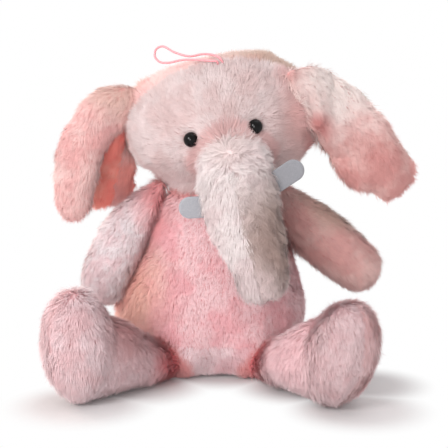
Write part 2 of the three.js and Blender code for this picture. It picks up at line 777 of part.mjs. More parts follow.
function makeTail() {
  const root = vector(0, bodyHalfDepth - tailInset, tailHeight);
  const tail = softForm({
    spine: [[0, 0], [0.55, 0.17], [1, 1]].map(
      ([back, down]) => root.clone().add(vector(0, tailLength * back, -tailDrop * down))),
    wide: [0.9, 1, 0.85].map((share) => tailRadius * share),
    deep: [0.9, 1, 0.85].map((share) => tailRadius * share),
    side: sideways,
    startCap: tailRadius * 0.5,
    endCap: tailRadius * 0.9,
    around: 10,
    along: 4,
    capRings: 3,
  });
  addPart('tail', largest(tail.subtract(bodyGrown)), pinkFur);
}

makeBody();
makeHead();
makeLoop();
makeTrunk();
makeSpreadEar();
makeFoldedEar();
makeArm(-1, 'left', leftArmForm);
makeArm(1, 'right', rightArmForm);
makeLeg('left', leftLeg);
makeLeg('right', rightLeg);
makeTail();

export default elephant;
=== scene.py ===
import json
import math

import bpy
import numpy as np
from mathutils import Matrix, Vector, kdtree
from mathutils.bvhtree import BVHTree

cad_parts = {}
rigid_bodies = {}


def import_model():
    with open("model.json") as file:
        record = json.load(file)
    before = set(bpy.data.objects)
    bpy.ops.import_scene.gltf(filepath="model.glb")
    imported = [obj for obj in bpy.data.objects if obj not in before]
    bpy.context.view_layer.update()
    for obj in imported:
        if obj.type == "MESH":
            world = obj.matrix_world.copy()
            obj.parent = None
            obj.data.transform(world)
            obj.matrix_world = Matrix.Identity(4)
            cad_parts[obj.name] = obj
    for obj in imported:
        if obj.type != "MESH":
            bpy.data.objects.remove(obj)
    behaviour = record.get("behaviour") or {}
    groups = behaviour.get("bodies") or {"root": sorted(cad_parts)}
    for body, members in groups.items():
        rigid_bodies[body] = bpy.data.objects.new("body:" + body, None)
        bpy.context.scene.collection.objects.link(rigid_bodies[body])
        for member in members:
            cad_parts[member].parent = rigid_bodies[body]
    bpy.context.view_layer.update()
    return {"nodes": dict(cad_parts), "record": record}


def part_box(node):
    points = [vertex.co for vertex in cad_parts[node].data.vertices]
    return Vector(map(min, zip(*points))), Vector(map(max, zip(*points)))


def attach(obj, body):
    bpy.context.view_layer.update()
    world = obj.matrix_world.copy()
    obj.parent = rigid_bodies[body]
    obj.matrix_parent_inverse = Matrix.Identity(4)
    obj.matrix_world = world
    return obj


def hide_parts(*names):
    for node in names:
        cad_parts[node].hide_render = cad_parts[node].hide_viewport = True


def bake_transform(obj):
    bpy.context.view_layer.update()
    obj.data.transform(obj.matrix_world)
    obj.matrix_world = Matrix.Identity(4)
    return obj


# A sitting plush elephant. Metres, +Z up, the front faces -Y.
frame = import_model()
scene = bpy.context.scene
mm = 0.001
bodies = frame["record"]["behaviour"]["bodies"]

# The head leans to one side, so places on it are given in its own frame
head = {"centre": Vector((1, -8, 209)) * mm, "roll": math.radians(11.5), "half": (81, 61, 57.5)}
headFrame = Matrix.Translation(head["centre"]) @ Matrix.Rotation(-head["roll"], 4, "Y")


def onHead(x, y, z):
    return headFrame @ (Vector((x, y, z)) * mm)


# ---- camera

camera = {"at": (0.0026, -0.98769, 0.27843), "target": (0.0026, 0.0, 0.122), "lens": 93.44}


def makeCamera():
    bpy.ops.object.camera_add(location=camera["at"])
    made = bpy.context.object
    made.data.lens = camera["lens"]
    made.data.sensor_width = 36.0
    look = Vector(camera["target"]) - Vector(camera["at"])
    made.rotation_mode = "QUATERNION"
    made.rotation_quaternion = look.to_track_quat("-Z", "Y")
    scene.camera = made


makeCamera()


# ---- shader helpers

def newMaterial(name):
    material = bpy.data.materials.new(name)
    material.use_nodes = True
    material.node_tree.nodes.clear()
    return material, material.node_tree


def fill(tree, node, values):
    for socket, value in values.items():
        if isinstance(value, bpy.types.NodeSocket):
            tree.links.new(value, node.inputs[socket])
        else:
            node.inputs[socket].default_value = value


def addNode(tree, kind, values=None, **settings):
    node = tree.nodes.new("ShaderNode" + kind)
    for key, value in settings.items():
        setattr(node, key, value)
    fill(tree, node, values or {})
    return node


def finishMaterial(tree, values):
    shader = addNode(tree, "BsdfPrincipled", values)
    addNode(tree, "OutputMaterial", {"Surface": shader.outputs[0]})


def rgb(code):
    parts = [int(code[i:i + 2], 16) / 255 for i in (0, 2, 4)]
    return (*[c / 12.92 if c <= 0.04045 else ((c + 0.055) / 1.055) ** 2.4 for c in parts], 1.0)


def mixColours(tree, factor, first, second):
    node = addNode(tree, "Mix", {0: factor, 6: first, 7: second}, data_type="RGBA")
    return node.outputs[2]


def calculate(tree, operation, first, second=0.0, third=0.0):
    return addNode(tree, "Math", {0: first, 1: second, 2: third}, operation=operation).outputs[0]


def between(tree, value, low, high, toLow=0.0, toHigh=1.0):
    node = addNode(tree, "MapRange", {
        "Value": value, "From Min": low, "From Max": high, "To Min": toLow, "To Max": toHigh},
        interpolation_type="SMOOTHSTEP")
    return node.outputs["Result"]


def noise(tree, place, scale, detail=2.0, roughness=0.5):
    return addNode(tree, "TexNoise", {
        "Vector": place, "Scale": scale, "Detail": detail, "Roughness": roughness}).outputs["Fac"]


def bumps(tree, height, strength, distance):
    return addNode(tree, "Bump", {
        "Height": height, "Strength": strength, "Distance": distance}).outputs["Normal"]


def apart(tree, first, second):
    node = addNode(tree, "VectorMath", {0: first, 1: second}, operation="DISTANCE")
    return node.outputs["Value"]


def objectPlace(tree):
    return addNode(tree, "TexCoord").outputs["Object"]


# ---- hanging loop: a thin shiny cord sewn into the seam on top of the head

loop = {
    "diameter": 1.9 * mm, "steps": 5, "roundness": 3,
    # where it is sewn in, in shares of the head's half sizes
    "seat": (0.124, -0.533, 0.8075),
    "route": [
        (0, 0, 0), (-0.2, -1.8, 3.8), (-2.6, -2.5, 7.7), (-8.6, 1, 10.1), (-16.6, 5.5, 10.5),
        (-27.2, 10.5, 8.7), (-39.6, 14.5, 11.9), (-49.4, 18, 16.7), (-55, 20.5, 14.1), (-56, 21, 8.5),
        (-52.2, 20, 4.1), (-45.2, 17.5, 3.3), (-35.6, 12, 5.3), (-28.2, 6.5, 6.1), (-18.6, 0, 5.9),
        (-9.6, -5, 5.3), (-4.8, -5.5, 4.9), (-3.8, -2.9, 2.4), (-3.6, -0.5, -1),
    ],
    "light": rgb("ee9fa5"), "dark": rgb("e58d95"), "plies": 420.0, "twist": 1.5, "relief": 0.1 * mm,
}


def throughPoints(points, steps):
    # a centripetal Catmull-Rom curve
    points = [np.array(p, float) for p in points]
    points = [2 * points[0] - points[1], *points, 2 * points[-1] - points[-2]]
    line = []
    for p0, p1, p2, p3 in zip(points, points[1:], points[2:], points[3:]):
        t1 = np.linalg.norm(p1 - p0) ** 0.5
        t2 = t1 + np.linalg.norm(p2 - p1) ** 0.5
        t3 = t2 + np.linalg.norm(p3 - p2) ** 0.5
        for t in np.linspace(t1, t2, steps, endpoint=False):
            a1 = (t1 - t) / t1 * p0 + t / t1 * p1
            a2 = (t2 - t) / (t2 - t1) * p1 + (t - t1) / (t2 - t1) * p2
            a3 = (t3 - t) / (t3 - t2) * p2 + (t - t2) / (t3 - t2) * p3
            b1 = (t2 - t) / t2 * a1 + t / t2 * a2
            b2 = (t3 - t) / (t3 - t1) * a2 + (t - t1) / (t3 - t1) * a3
            line.append((t2 - t) / (t2 - t1) * b1 + (t - t1) / (t2 - t1) * b2)
    line.append(points[-2])
    return np.array(line)


def cordMaterial():
    material, tree = newMaterial("pinkCord")
    place = objectPlace(tree)
    plies = addNode(tree, "TexWave", {
        "Vector": place, "Scale": loop["plies"], "Distortion": loop["twist"]},
        bands_direction="DIAGONAL").outputs["Fac"]
    finishMaterial(tree, {
        "Base Color": mixColours(tree, plies, loop["dark"], loop["light"]), "Roughness": 0.4,
        "Sheen Weight": 0.3, "Normal": bumps(tree, plies, strength=0.3, distance=loop["relief"])})
    return material


def makeLoop():
    root = onHead(*[half * share for half, share in zip(head["half"], loop["seat"])])
    line = throughPoints([root + Vector(p) * mm for p in loop["route"]], loop["steps"])
    data = bpy.data.curves.new("loop_cord", "CURVE")
    data.dimensions = "3D"
    spline = data.splines.new("POLY")
    spline.points.add(len(line) - 1)
    for point, place in zip(spline.points, line):
        point.co = (*place, 1.0)
    data.bevel_depth = loop["diameter"] / 2
    data.bevel_resolution = loop["roundness"]
    data.use_fill_caps = True
    data.materials.append(cordMaterial())
    cord = bpy.data.objects.new("loop_cord", data)
    scene.collection.objects.link(cord)
    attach(cord, "head")
    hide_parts("hanging_loop")


makeLoop()


# ---- soft noise and other sums over many points at once

hashing = {"cell": (73856093, 19349663, 83492791), "seed": 26544357, "start": 12345, "stir": 73244475}
# keeps the numbers of the grid's cells above zero
gridShift = 1000


def hashed(cells, seed):
    # a number from 0 to 1 for each cell of a grid
    x, y, z = (cells[..., i] * factor for i, factor in enumerate(hashing["cell"]))
    mixed = (x ^ y ^ z ^ (seed * hashing["seed"] + hashing["start"])) & 0xffffffff
    for _ in range(2):
        mixed = ((mixed >> 16) ^ mixed) * hashing["stir"] & 0xffffffff
    return ((mixed >> 16) ^ mixed) / 2 ** 32


def softNoise(points, size, seed):
    # from -1 to 1, with features about as wide as size
    scaled = points / size + gridShift
    base = np.floor(scaled).astype(np.int64)
    share = scaled - base
    share = share * share * (3 - 2 * share)
    total = np.zeros(len(points))
    for corner in range(8):
        step = np.array([corner & 1, corner >> 1 & 1, corner >> 2 & 1])
        total += np.prod(np.where(step, share, 1 - share), axis=1) * hashed(base + step, seed)
    return total * 2 - 1


def noiseVectors(points, size, seed):
    return np.stack([softNoise(points, size, seed + i) for i in range(3)], axis=1)


def nearestCentre(points, size, seed):
    # the nearest of many scattered centres, about size apart, and a number of its own
    scaled = points / size + gridShift
    base = np.floor(scaled).astype(np.int64)
    best = np.full(len(points), np.inf)
    centre = np.zeros_like(points)
    own = np.zeros(len(points))
    for i in range(27):
        cell = base + np.array([i % 3 - 1, i // 3 % 3 - 1, i // 9 - 1])
        spot = cell + np.stack([hashed(cell, seed + k) for k in range(3)], axis=1)
        far = ((spot - scaled) ** 2).sum(axis=1)
        closer = far < best
        best[closer], centre[closer] = far[closer], spot[closer]
        own[closer] = hashed(cell, seed + 7)[closer]
    return (centre - gridShift) * size, own


def lengths(vectors):
    return np.linalg.norm(vectors, axis=1)


def unit(vectors):
    return vectors / np.maximum(np.linalg.norm(vectors, axis=-1, keepdims=True), 1e-12)


def flatOn(vectors, normals):
    return vectors - (vectors * normals).sum(axis=1, keepdims=True) * normals


def ramp(values, low, high):
    # from 0 at low to 1 at high, and fade the other way
    share = np.clip((values - low) / (high - low), 0, 1)
    return share * share * (3 - 2 * share)


def fade(values, low, high):
    return 1 - ramp(values, low, high)


def closeTo(points, place, size, core):
    # 1 in the core of a round mark, and 0 from its edge on
    return fade(lengths(points - np.array(place)), core * size, size)


# ---- skins: one sewn, rounded form for each body, which the pile stands on

skinSpec = {
    "voxel": 4.0 * mm, "smoothing": 5, "touching": 1.6 * mm, "neck": 7 * mm, "floor": 1.0 * mm,
    "pressure": 5.0, "frames": 18, "swell": 0.8 * mm, "mostSwell": 2.5 * mm, "quality": 4, "bending": 0.4,
    # how far away its own panels, its neighbours and its seams are looked for
    "ownReach": 8 * mm, "neighbourReach": 30 * mm, "seamReach": 40 * mm,
    # beside a neighbour the pile lies down to this share of its height, between these gaps
    "flattest": 0.4, "beside": (1 * mm, 9 * mm),
    "slackEdge": 2 * mm, "bulgeCore": 0.25, "steps": 3, "easing": 0.3,
}
# how deep the pile is on each body, in millimetres
pile = {
    "torso": 3.3, "head": 3.4, "trunk": 3.6, "ear_left": 3.0, "ear_right": 2.9, "arm_left": 3.5,
    "arm_right": 3.2, "leg_left": 3.6, "leg_right": 3.4, "tail": 2.0,
}
# where the stuffing pushes a skin out further: the place, how wide, and by how many millimetres
bulges = {
    "torso": [((-0.056, -0.012, 0.134), 0.036, 6.5), ((-0.085, -0.005, 0.05), 0.04, 5.0),
              ((0.028, -0.056, 0.022), 0.032, 7.5), ((-0.036, -0.056, 0.022), 0.032, 6.5)],
    "leg_left": [((-0.09, -0.05, 0.062), 0.03, 3.0), ((-0.041, -0.073, 0.022), 0.03, 1.5)],
    "leg_right": [((0.04, -0.085, 0.03), 0.032, 2.0)],
    "arm_left": [((-0.05, -0.02, 0.142), 0.03, 2.0)],
    "ear_left": [((-0.104, -0.024, 0.178), 0.034, 7.0), ((-0.112, 0.0, 0.143), 0.034, 7.0),
                 ((-0.1, -0.01, 0.228), 0.036, 6.0)],
    "ear_right": [((0.1, -0.022, 0.158), 0.03, 4.0)],
}
skins = {}


def readFrom(items, key, width=3, kind=float):
    values = np.empty(len(items) * width, kind)
    items.foreach_get(key, values)
    return values.reshape(-1, width)


def coordinates(mesh):
    return readFrom(mesh.vertices, "co")


def vertexNormals(mesh):
    return readFrom(mesh.vertex_normals, "vector")


def triangleCorners(mesh):
    mesh.calc_loop_triangles()
    return readFrom(mesh.loop_triangles, "vertices", kind=np.int32)


def moveVertices(mesh, places):
    mesh.vertices.foreach_set("co", places.ravel())
    mesh.update()


def nodeShapes(names):
    # the points and triangles of these CAD nodes together
    places, corners, offset = [], [], 0
    for name in names:
        mesh = frame["nodes"][name].data
        places.append(coordinates(mesh))
        corners.append(triangleCorners(mesh) + offset)
        offset += len(mesh.vertices)
    return np.concatenate(places), np.concatenate(corners)


def nearestOn(names, points, most):
    # the nearest place on these nodes and how far it is, for each point
    tree = BVHTree.FromPolygons(*[part.tolist() for part in nodeShapes(names)])
    found = [tree.find_nearest(p, most) for p in points]
    places = np.array([p if hit[0] is None else hit[0] for p, hit in zip(points, found)])
    return places, np.array([most if hit[0] is None else hit[3] for hit in found])


def selectOnly(obj):
    bpy.ops.object.select_all(action="DESELECT")
    obj.select_set(True)
    bpy.context.view_layer.objects.active = obj


def inMode(mode):
    bpy.ops.object.mode_set(mode=mode)


def applyPlace():
    bpy.ops.object.transform_apply(location=True, rotation=True, scale=True)


def applyModifier(obj, kind, **settings):
    selectOnly(obj)
    modifier = obj.modifiers.new(kind.lower(), kind)
    for key, value in settings.items():
        setattr(modifier, key, value)
    bpy.ops.object.modifier_apply(modifier=modifier.name)


def meshObject(name, mesh):
    obj = bpy.data.objects.new(name, mesh)
    scene.collection.objects.link(obj)
    return obj


def roundedCopy(name, nodes, spec):
    # the nodes' outside as one closed form
    places, corners = nodeShapes(nodes)
    mesh = bpy.data.meshes.new(name)
    mesh.from_pydata(places.tolist(), [], corners.tolist())
    obj = meshObject(name, mesh)
    selectOnly(obj)
    inMode("EDIT")
    bpy.ops.mesh.select_all(action="SELECT")
    bpy.ops.mesh.remove_doubles(threshold=1e-6)
    inMode("OBJECT")
    applyModifier(obj, "REMESH", mode="VOXEL", voxel_size=spec["voxel"])
    applyModifier(obj, "SMOOTH", factor=0.5, iterations=spec["smoothing"])
    # the outermost shell stays
    for vertex in obj.data.vertices:
        vertex.select = False
    obj.data.vertices[int(coordinates(obj.data)[:, 1].argmin())].select = True
    inMode("EDIT")
    bpy.ops.mesh.select_linked()
    bpy.ops.mesh.select_all(action="INVERT")
    bpy.ops.mesh.delete(type="VERT")
    inMode("OBJECT")
    obj.data.shade_smooth()
    return obj


def coversOf(body):
    return [n for n in bodies[body] if "panel" in n or "cheek" in n or n == "tail"]


def fillingsOf(body):
    return [n for n in bodies[body] if "filling" in n or "pellet" in n]


def getAttribute(mesh, name):
    return readFrom(mesh.attributes[name].data, "value", width=1)[:, 0]


def setAttribute(mesh, name, values):
    made = mesh.attributes.get(name) or mesh.attributes.new(name, "FLOAT", "POINT")
    made.data.foreach_set("value", np.broadcast_to(values, len(mesh.vertices)).astype(np.float32))


def depthSewn(outer, gap):
    # how far inside the patch that is sewn to a neighbour, and zero outside it
    free = np.flatnonzero(gap > skinSpec["touching"])
    tree = kdtree.KDTree(len(free))
    for i in free:
        tree.insert(outer[i], int(i))
    tree.balance()
    sewn = np.zeros(len(outer))
    for i in np.flatnonzero(gap <= skinSpec["touching"]):
        sewn[i] = tree.find(outer[i])[2]
    return sewn


def cutSkin(body):
    # the cloth of one body, a little slack, standing back by its pile's height
    covers = coversOf(body)
    skin = roundedCopy(body + "_skin", covers + fillingsOf(body), skinSpec)
    places, normals = coordinates(skin.data), vertexNormals(skin.data)
    lost = nearestOn(covers, places, skinSpec["ownReach"])[0] - places
    moveVertices(skin.data, places + normals * (lost * normals).sum(axis=1, keepdims=True))
    outer = coordinates(skin.data)
    others = [n for name in bodies if name != body for n in coversOf(name)]
    gap = nearestOn(others, outer, skinSpec["neighbourReach"])[1]
    sewn = depthSewn(outer, gap)
    flatness = (1 - skinSpec["flattest"]) * fade(gap, *skinSpec["beside"])
    inset = pile[body] * mm * (1 - flatness) * fade(sewn, 0, skinSpec["neck"])
    for place, size, most in bulges.get(body, []):
        inset -= most * mm * closeTo(outer, place, size, skinSpec["bulgeCore"])
    slack = skinSpec["swell"] * fade(sewn, 0, skinSpec["slackEdge"])
    for _ in range(skinSpec["steps"]):
        step = vertexNormals(skin.data) * (inset + slack)[:, None] / skinSpec["steps"]
        moveVertices(skin.data, coordinates(skin.data) - step)
        applyModifier(skin, "SMOOTH", factor=skinSpec["easing"], iterations=1)
    for name, values in (("gap", gap), ("sewn", sewn), ("inset", inset), ("slack", slack)):
        setAttribute(skin.data, name, values)
    skins[body] = {"obj": skin, "covers": covers}


def stuffSkins():
    # every cloth swells together under its filling, held where it is sewn on
    for skin in skins.values():
        obj = skin["obj"]
        skin["cut"] = coordinates(obj.data)
        held = obj.vertex_groups.new(name="sewn")
        held.add([int(i) for i in np.flatnonzero(getAttribute(obj.data, "sewn") > 0)], 1.0, "REPLACE")
        cloth = obj.modifiers.new("cloth", "CLOTH")
        cloth.settings.vertex_group_mass = held.name
        cloth.settings.use_pressure = True
        cloth.settings.uniform_pressure_force = skinSpec["pressure"]
        cloth.settings.effector_weights.gravity = 0
        cloth.settings.quality = skinSpec["quality"]
        cloth.settings.bending_stiffness = skinSpec["bending"]
    for step in range(1, skinSpec["frames"] + 1):
        scene.frame_set(step)
    for skin in skins.values():
        obj = skin["obj"]
        selectOnly(obj)
        bpy.ops.object.modifier_apply(modifier="cloth")
        moved = coordinates(obj.data) - skin["cut"]
        far = np.maximum(lengths(moved), 1e-9)[:, None]
        moveVertices(obj.data, skin["cut"] + moved * np.minimum(far, skinSpec["mostSwell"]) / far)
        print("stuffed", obj.name, round(float(np.median(far)) / mm, 2), "mm")
        obj.vertex_groups.clear()
    scene.frame_set(1)


def finishSkin(skin):
    applyModifier(skin["obj"], "SUBSURF", levels=1, render_levels=1)
    mesh = skin["obj"].data
    places = coordinates(mesh)
    places[:, 2] = np.maximum(places[:, 2], skinSpec["floor"])
    moveVertices(mesh, places)
    mesh.shade_smooth()
    skin["gap"], skin["sewn"] = getAttribute(mesh, "gap"), getAttribute(mesh, "sewn")
    outer = places + vertexNormals(mesh) * getAttribute(mesh, "inset")[:, None]
    far = skinSpec["seamReach"]
    toPanel = np.stack([nearestOn([node], outer, far)[1] for node in skin["covers"]], axis=1)
    skin["panel"] = toPanel.argmin(axis=1)
    toPanel.sort(axis=1)
    skin["seam"] = toPanel[:, 1] if len(skin["covers"]) > 1 else np.full(len(places), far)


for bodyName in bodies:
    cutSkin(bodyName)
stuffSkins()
for skin in skins.values():
    finishSkin(skin)
print("skins", sum(len(skin["gap"]) for skin in skins.values()), "points")


# ---- fur colours: pale tips over deeper roots, soft patches, painted shade in creases and at seams, and up to two round marks on a panel, several of them painted shade or glow

furSurface = {"Roughness": 0.85, "Specular IOR Level": 0.2, "Sheen Weight": 0.4, "Sheen Roughness": 0.5}
furTone = {
    "patchEdge": (0.4, 0.62), "flecks": 260.0, "fleckDepth": 0.5, "rootsEnd": 0.6, "wander": 0.7,
    "markEdge": (1.0, 0.2), "creaseShadeDepth": 0.75,
}


def mark(kind, colour, place, size, amount):
    # a soft round mark: Blush or Spot, its colour, where its middle is, how wide and how strong
    return {kind: colour, kind + " Place": tuple(place), kind + " Size": size, kind + " Amount": amount}


# what a look says nothing about stays plain
plain = {
    "Tip": "f9e4e4", "Root": "e9a4a9", "Patch": "f0c4c8", "Patch Size": 0.03, "Patch Amount": 0.75,
    # the crease colour is painted shade, beside a neighbour and at a seam
    "Crease Shade": "e88f8c", "Contrast": 0.2,
    **mark("Blush", "f2a48f", (0.0, 0.0, 0.0), 0.04, 0.0),
    **mark("Spot", "c9706c", (0.0, 0.0, 0.0), 0.03, 0.0),
}
white = {"Tip": "e9dfde", "Root": "d6bdbc", "Patch": "ddcaca", "Crease Shade": "ddb9b8"}
pale = {"Tip": "dccbca", "Root": "c8a2a1", "Patch": "d1b6b4", "Crease Shade": "cfa19f"}
lilac = {"Tip": "eadfe1", "Root": "d8b0b4", "Patch": "e1c2c5", "Patch Size": 0.022, "Contrast": 0.22}
pink = {"Tip": "f8d4d7", "Root": "ee9ba1", "Patch": "f3b3b9", "Contrast": 0.12}
mauve = {"Tip": "e6cfd2", "Root": "d79a9f", "Patch": "dcb6b9", "Crease Shade": "ea8783", "Contrast": 0.2}
dusky = {"Tip": "f2d0d1", "Root": "e4b0ae", "Patch": "e9bcbc", "Crease Shade": "db807c"}
peach = {"Tip": "efccc8", "Root": "e09490", "Patch": "e5aaa8", "Crease Shade": "e4b0aa"}
# the inner ear's own deep pink, painted brighter as light shining through the ear
coralAndGlow = {"Tip": "ffb4a6", "Root": "ff7f77", "Patch": "ff9287", "Crease Shade": "ee7068"}

# painted light: a peach glow on the left of the belly and back, for light shining through the fur from the
# back left
glow = mark("Blush", "fac3b1", (-0.08, -0.02, 0.065), 0.07, 0.85)
# painted shade: darker pink on the belly where the left arm meets it
chestShade = mark("Spot", "e58c8e", (-0.055, -0.014, 0.124), 0.032, 0.7)
shoulder = mark("Blush", "e79a9c", (-0.047, -0.02, 0.15), 0.04, 0.85)
# painted shade: deep pink in the crease under the left arm
armpitShade = mark("Spot", "e4787e", (-0.046, 0.0, 0.128), 0.04, 0.95)
# the ear's own pink, made coral near its fold as painted light shining through the ear
flapGlow = mark("Blush", "f5998e", (-0.085, 0.022, 0.165), 0.036, 0.95)
earTop = mark("Spot", "d9b5a8", (-0.085, -0.015, 0.242), 0.045, 0.7)
earWhite = mark("Blush", "fff4f0", (0.098, -0.035, 0.246), 0.07, 0.9)
# painted shade: dark pink in the crease where the right ear meets the head
earCreaseShade = mark("Spot", "cf7c79", (0.078, -0.037, 0.206), 0.022, 0.85)
# painted shade: brownish on the back of the right ear, away from the light
earShade = mark("Blush", "c4a997", (0.13, 0.0, 0.21), 0.08, 0.9)
browPale = mark("Spot", "dccac8", onHead(2, -68, -6), 0.034, 0.85)
# painted shade: the trunk's right side darker and browner, away from the light
trunkShade = mark("Blush", "a88f87", (0.047, -0.09, 0.125), 0.065, 0.95)
# painted shade: the right cheek darker pink, away from the light, and darker still in the crease by the ear
cheekShade = mark("Blush", "dba09b", onHead(78, -25, -8), 0.055, 0.75)
cheekCreaseShade = mark("Spot", "c9706f", (0.0775, -0.018, 0.201), 0.022, 0.9)
# painted shade: brownish on the right of the crown, away from the light
crownShade = mark("Blush", "c7a795", onHead(60, -10, 40), 0.08, 0.85)
# painted shade: the right arm browner, away from the light
handShade = mark("Blush", "c4a290", (0.1, -0.01, 0.145), 0.045, 0.7)
armShade = mark("Blush", "c4a290", (0.1, 0.0, 0.13), 0.06, 0.85)
# painted shade: darker pink on the shaded side of the left foot
thighShade = mark("Blush", "d28f90", (-0.082, -0.096, 0.056), 0.046, 0.8)
sole = mark("Blush", "fad2d6", (0.055, -0.112, 0.045), 0.055, 0.85)
# painted shade: deep pink in the creases where the legs meet the body
hipShadeLeft = mark("Spot", "e87379", (-0.042, -0.062, 0.024), 0.042, 0.95)
hipShadeRight = mark("Spot", "e87379", (0.03, -0.062, 0.024), 0.04, 0.95)


def evenly(tree, value, depth):
    # a noise from 0 to 1, made to run evenly about zero
    return calculate(tree, "MULTIPLY_ADD", value, depth, -depth / 2)


def furGroup():
    group = bpy.data.node_groups.new("PlushFur", "ShaderNodeTree")
    for name, value in plain.items():
        kind = "Color" if isinstance(value, str) else "Vector" if isinstance(value, tuple) else "Float"
        socket = group.interface.new_socket(name=name, in_out="INPUT", socket_type="NodeSocket" + kind)
        socket.default_value = rgb(value) if kind == "Color" else value
    group.interface.new_socket(name="Color", in_out="OUTPUT", socket_type="NodeSocketColor")
    given = group.nodes.new("NodeGroupInput").outputs
    place = objectPlace(group)
    along, tone, deep = (addNode(group, "Attribute", attribute_name=name).outputs["Fac"]
                         for name in ("along", "tone", "deep"))
    scale = calculate(group, "DIVIDE", 1.0, given["Patch Size"])
    patches = noise(group, place, scale, detail=3.0, roughness=0.6)
    patchShare = between(group, patches, *furTone["patchEdge"])
    patchShare = calculate(group, "MULTIPLY", patchShare, given["Patch Amount"])
    tip = mixColours(group, patchShare, given["Tip"], given["Patch"])
    flecks = evenly(group, noise(group, place, furTone["flecks"]), furTone["fleckDepth"])
    height = between(group, calculate(group, "ADD", along, flecks), 0.0, furTone["rootsEnd"])
    colour = mixColours(group, height, given["Root"], tip)
    wander = evenly(group, patches, furTone["wander"])
    for kind in ("Blush", "Spot"):
        away = apart(group, place, given[kind + " Place"])
        near = calculate(group, "ADD", calculate(group, "DIVIDE", away, given[kind + " Size"]), wander)
        share = between(group, near, *furTone["markEdge"])
        share = calculate(group, "MULTIPLY", share, given[kind + " Amount"])
        colour = mixColours(group, share, colour, given[kind])
    # painted shade: beside a neighbour and at a seam the fur turns to its crease colour
    creaseShade = calculate(group, "MULTIPLY", deep, furTone["creaseShadeDepth"])
    colour = mixColours(group, creaseShade, colour, given["Crease Shade"])
    light = calculate(group, "MULTIPLY_ADD", calculate(group, "SUBTRACT", tone, 0.5), given["Contrast"], 1.0)
    varied = addNode(group, "HueSaturation", {"Color": colour, "Value": light})
    group.links.new(varied.outputs[0], group.nodes.new("NodeGroupOutput").inputs["Color"])
    return group


plushFur = furGroup()


def furMaterial(name, look):
    # a look gives its colours as hex codes
    material, tree = newMaterial(name)
    given = {key: look[key] for key in plain if key in look}
    given = {key: rgb(value) if isinstance(value, str) else value for key, value in given.items()}
    fur = addNode(tree, "Group", given, node_tree=plushFur)
    finishMaterial(tree, {"Base Color": fur.outputs["Color"], **furSurface})
    return material


# each panel's look, its slot where it isn't pink_fur, how much painted shade its seams take, and where its
# fur differs from its body's
furs = {
    "seat_panel": {**pink, "Tip": "f4dadd", "Root": "e8a5aa", "Patch": "ecbcc1", "slot": "pale_fur",
                   "seamed": 0.0},
    "belly_panel": {**pink, **glow, **chestShade, "seamed": 0.0},
    "back_panel_left": {**pink, **glow, "density": 0.8},
    "back_panel_right": {**pink, "density": 0.8},
    "forehead_panel": {**pale, "slot": "pale_fur", "seamed": 0.1},
    "cheek_left": {**pale, "slot": "pale_fur", "seamed": 0.1},
    "cheek_right": {**pale, **cheekShade, **cheekCreaseShade, "slot": "pale_fur", "seamed": 0.1},
    "head_back_panel": {**peach, **crownShade, "Crease Shade": "dfb3a8", "slot": "shaded_fur", "density": 0.8},
    "trunk_panel_left": {**white, **browPale, "slot": "pale_fur", "seamed": 0.0},
    "trunk_panel_right": {**white, **browPale, **trunkShade, "Contrast": 0.35, "slot": "shaded_fur",
                          "seamed": 0.0, "wave": 0.7, "tuft": 6, "gather": 0.6},
    "ear_right_inner_panel": {**peach, **earWhite, **earCreaseShade, "Tip": "e7bab5", "Root": "d68b87",
                              "Patch": "d69490", "Crease Shade": "efd8d2", "Contrast": 0.16},
    "ear_right_outer_panel": {**peach, **earShade, "Crease Shade": "dfcac0", "slot": "shaded_fur", "density": 0.8},
    "ear_left_outer_panel": {**peach, **flapGlow, **earTop, "Contrast": 0.18},
    "ear_left_inner_panel": {**coralAndGlow, "slot": "deep_pink_fur"},
    "arm_left_front_panel": {**lilac, **shoulder, **armpitShade, "slot": "pale_fur"},
    "arm_left_back_panel": {**lilac, **shoulder, **armpitShade, "Tip": "efd6d8", "density": 0.8},
    # painted shade: the right arm's front darker than peach
    "arm_right_front_panel": {**peach, **handShade, "Contrast": 0.24, "Tip": "e0bbb6", "Root": "d08883",
                              "Patch": "d59d99", "slot": "pale_fur", "seamed": 0.7},
    "arm_right_back_panel": {**peach, **armShade, "density": 0.8},
    "leg_left_inner_panel": {**mauve, **thighShade, **hipShadeLeft, "slot": "pale_fur"},
    "leg_left_outer_panel": {**mauve, **hipShadeLeft},
    "leg_right_inner_panel": {**mauve, **hipShadeRight, **sole, "Tip": "dec4c6", "Root": "d8a0a4",
                              "Patch": "d5adb0", "Contrast": 0.16, "slot": "pale_fur"},
    "leg_right_outer_panel": {**dusky, **hipShadeRight},
    "tail": {**pink},
}
for node, spec in furs.items():
    spec["material"] = furMaterial(node + "Fur", spec)


# ---- fur: tapered strands, combed and gathered into soft tufts

def steady(*direction):
    return lambda points: np.tile(np.array(direction, float), (len(points), 1))


parting = {"head": np.array(onHead(1, -64, -12)), "trunk": np.array(onHead(2, -72, -14))}


def headComb(points):
    # fanning out from between the eyes, and down at the back
    out = unit(points - parting["head"])
    back = ramp(points[:, 1], -0.02, 0.02)[:, None]
    return out * (1 - back) + np.array([0, 0.3, -1.0]) * back


def trunkComb(points):
    # fanning out at the top, like the forehead, and down along the trunk
    below = ramp(lengths(points - parting["trunk"]), 0.015, 0.035)[:, None]
    return unit(points - parting["trunk"]) * (1 - below) + np.array([0.12, 0, -1.0]) * below


def atAngle(splay, reach, height):
    turned = math.radians(splay)
    return Vector((math.sin(turned) * reach, -math.cos(turned) * reach, height)) * mm


def legComb(splay, dart):
    # out along the leg, and on the foot away from its dart, or down
    outward = np.array(atAngle(splay, 1000, 0))
    ankle = np.array(atAngle(splay, 98, 30))

    def comb(points):
        foot = ramp((points - ankle) @ outward, -0.02, 0.012)[:, None]
        onFoot = unit(points - np.array(dart)) if dart else np.array([0.08, 0, -1.0])
        return outward * (1 - foot) + onFoot * foot
    return comb


